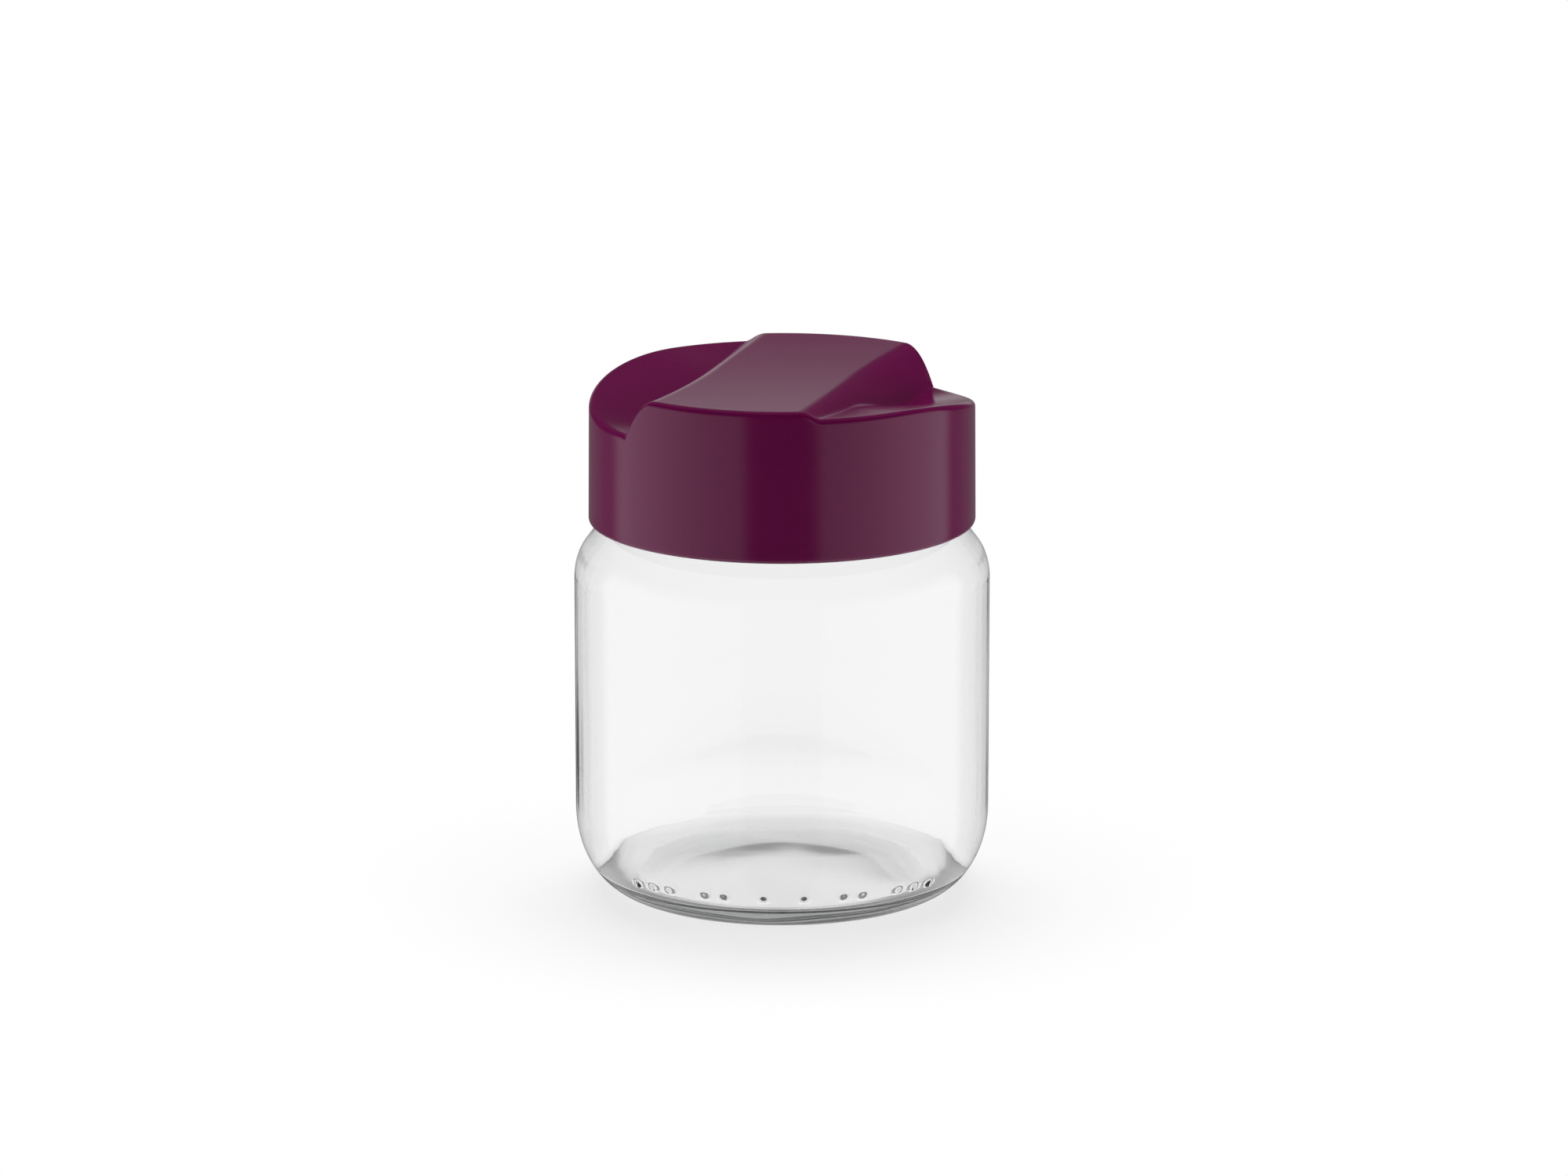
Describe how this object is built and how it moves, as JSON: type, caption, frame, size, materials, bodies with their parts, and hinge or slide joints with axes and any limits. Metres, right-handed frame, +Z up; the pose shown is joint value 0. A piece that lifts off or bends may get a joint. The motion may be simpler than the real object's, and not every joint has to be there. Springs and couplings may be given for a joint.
{
  "type": "glass storage jar",
  "caption": "Squat round glass storage jar with a screw neck, a plum-coloured moulded twist lid whose top is a grip band between two ramps, and a loose seal disc inside the lid.",
  "frame": {"origin": "centre of the base, on the plane that the jar stands on", "axes": "+Z up along the jar's axis, -Y toward the viewer of the picture, +X to the viewer's right"},
  "size_m": [0.086, 0.086, 0.1091],
  "materials": {
    "clear_glass": "clear, fire-polished",
    "seal": "matte, milky white",
    "lid_plastic": "satin gloss moulding"
  },
  "bodies": {
    "jar": {"glass_jar": "clear_glass"},
    "seal": {"seal_disc": "seal"},
    "lid": {"twist_lid": "lid_plastic"}
  },
  "joints": [
    {"name": "lid_lift", "type": "slide", "parent": "jar", "child": "seal", "axis": [0, 0, 1], "range_m": [0, 0.045]},
    {"name": "lid_turn", "type": "hinge", "parent": "seal", "child": "lid", "pos_m": [0, 0, 0.09], "axis": [0, 0, 1], "range_deg": [0, 120]}
  ]
}
